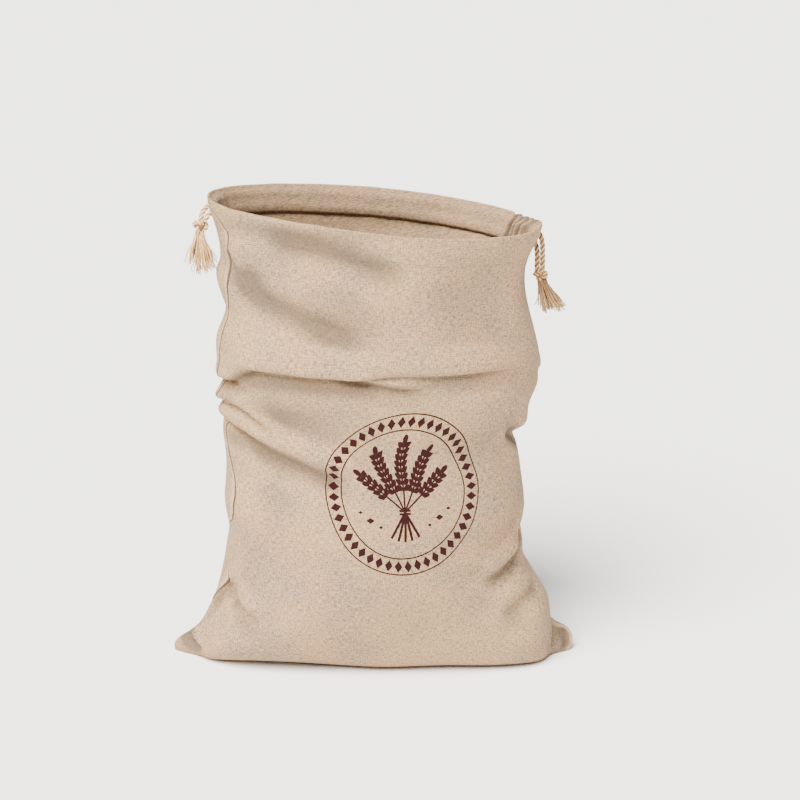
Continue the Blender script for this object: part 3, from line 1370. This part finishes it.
def weaveLinen(name, isPrinted):
    look = linenLook
    material, tree, shader = newMaterial(name, look)
    shader.inputs["Specular IOR Level"].default_value = look["specular"]
    flat = addNode(tree, "UVMap", uv_map="cloth").outputs["UV"]
    body = addNode(tree, "TexCoord").outputs["Object"]
    noises = {}
    for kind, acrossMm, alongMm, start, fineness in look["patterns"]:
        stretch = {"Scale": (1000 / acrossMm, 1000 / alongMm, 1.0), "Location": [start] * 3}
        spread = addNode(tree, "Mapping", {"Vector": flat, **stretch})
        noises[kind] = addNode(tree, "TexNoise", {"Vector": spread, "Scale": 1.0, "Detail": fineness})

    # heathered threads, seen one over another both ways
    threads = addNode(tree, "Math", {0: noises["warp"], 1: noises["weft"]}, operation="ADD")
    low, high = look["threadRange"]
    tone = addNode(tree, "MapRange", {"Value": threads, "From Min": low, "From Max": high})
    mixing = {0: tone, 6: toLinear(look["threadDark"]), 7: toLinear(look["threadLight"])}
    heather = addNode(tree, "Mix", mixing, data_type="RGBA").outputs[2]

    # soft patches where the flax is warmer, yellower or greyer
    patch = toLinear(look["grey"])
    for size, fineness, low, high, most, kind in look["patches"]:
        cloud = addNode(tree, "TexNoise", {"Vector": body, "Scale": 1000 / size, "Detail": fineness})
        spreading = {"Value": cloud, "From Min": low, "From Max": high, "To Max": most}
        amount = addNode(tree, "MapRange", spreading)
        mixing = {0: amount, 6: patch, 7: toLinear(look[kind])}
        patch = addNode(tree, "Mix", mixing, data_type="RGBA").outputs[2]
    mixing = {0: look["patchCover"], 6: heather, 7: patch}
    colour = addNode(tree, "Mix", mixing, data_type="RGBA").outputs[2]

    # thick places in single threads, and specks of stalk
    thickest = addNode(tree, "Math", {0: noises["slub warp"], 1: noises["slub weft"]}, operation="MAXIMUM")
    low, high = look["slubRange"]
    slubs = addNode(tree, "MapRange", {"Value": thickest, "From Min": low, "From Max": high})
    slubTone = addNode(tree, "Math", {0: slubs, 1: look["slubCover"]}, operation="MULTIPLY")
    across = 1000 / look["fleckApart"]
    spread = addNode(tree, "Mapping", {"Vector": flat, "Scale": (across, look["fleckLong"] * across, 1)})
    cells = addNode(tree, "TexVoronoi", {"Vector": spread, "Scale": 1.0})
    low, high = look["fleckEdge"]
    near = addNode(tree, "MapRange", {"Value": cells.outputs["Distance"], "From Min": low, "From Max": high})
    lot = addNode(tree, "SeparateXYZ", {"Vector": cells.outputs["Color"]}).outputs["X"]
    chosen = addNode(tree, "Math", {0: lot, 1: look["fleckRare"]}, operation="GREATER_THAN")
    specks = addNode(tree, "Math", {0: chosen, 1: near}, operation="MULTIPLY")
    specks = addNode(tree, "Math", {0: specks, 1: look["fleckCover"]}, operation="MULTIPLY")

    # cloth lies greyer in its hollows and cleaner on its ridges
    hollow = addNode(tree, "Attribute", attribute_name="hollow").outputs["Fac"]
    low, high = look["hollowRange"]
    deepening = {"Value": hollow, "From Min": low, "From Max": high, "To Max": look["hollowCover"]}
    deep = addNode(tree, "MapRange", deepening)

    ridge, joint = seamMarks(tree, flat, isPrinted)
    layers = [
        (slubTone, "threadLight"),
        (specks, "fleck"),
        (ridge, "threadLight"),
        (joint, "joint"),
        (deep, "hollow"),
    ]
    if isPrinted:
        soaking = {"Value": tone, "To Min": 1.0, "To Max": look["inkCover"]}
        ink = {0: printMask(tree, flat), 1: addNode(tree, "MapRange", soaking)}
        layers.append((addNode(tree, "Math", ink, operation="MULTIPLY"), "ink"))
    for amount, kind in layers:
        mixing = {0: amount, 6: colour, 7: toLinear(look[kind])}
        colour = addNode(tree, "Mix", mixing, data_type="RGBA").outputs[2]
    tree.links.new(colour, shader.inputs["Base Color"])

    relief = linenRelief(tree, flat, threads, slubs, noises["crumple"])
    tree.links.new(relief, shader.inputs["Normal"])
    return material


linen = weaveLinen("Plain-woven natural linen, printed", True)
linenInside = weaveLinen("Plain-woven natural linen", False)
bagPiece = addPiece("bag_linen", bm, linen, "linen", "bag_cloth")
bagPiece.data.materials.append(linenInside)
thickness = bagPiece.modifiers.new("cloth thickness", "SOLIDIFY")
thickness.thickness = bag["cloth"] * mm
thickness.offset = -1.0
thickness.material_offset = 1
thickness.material_offset_rim = 0
print("linen woven and printed")
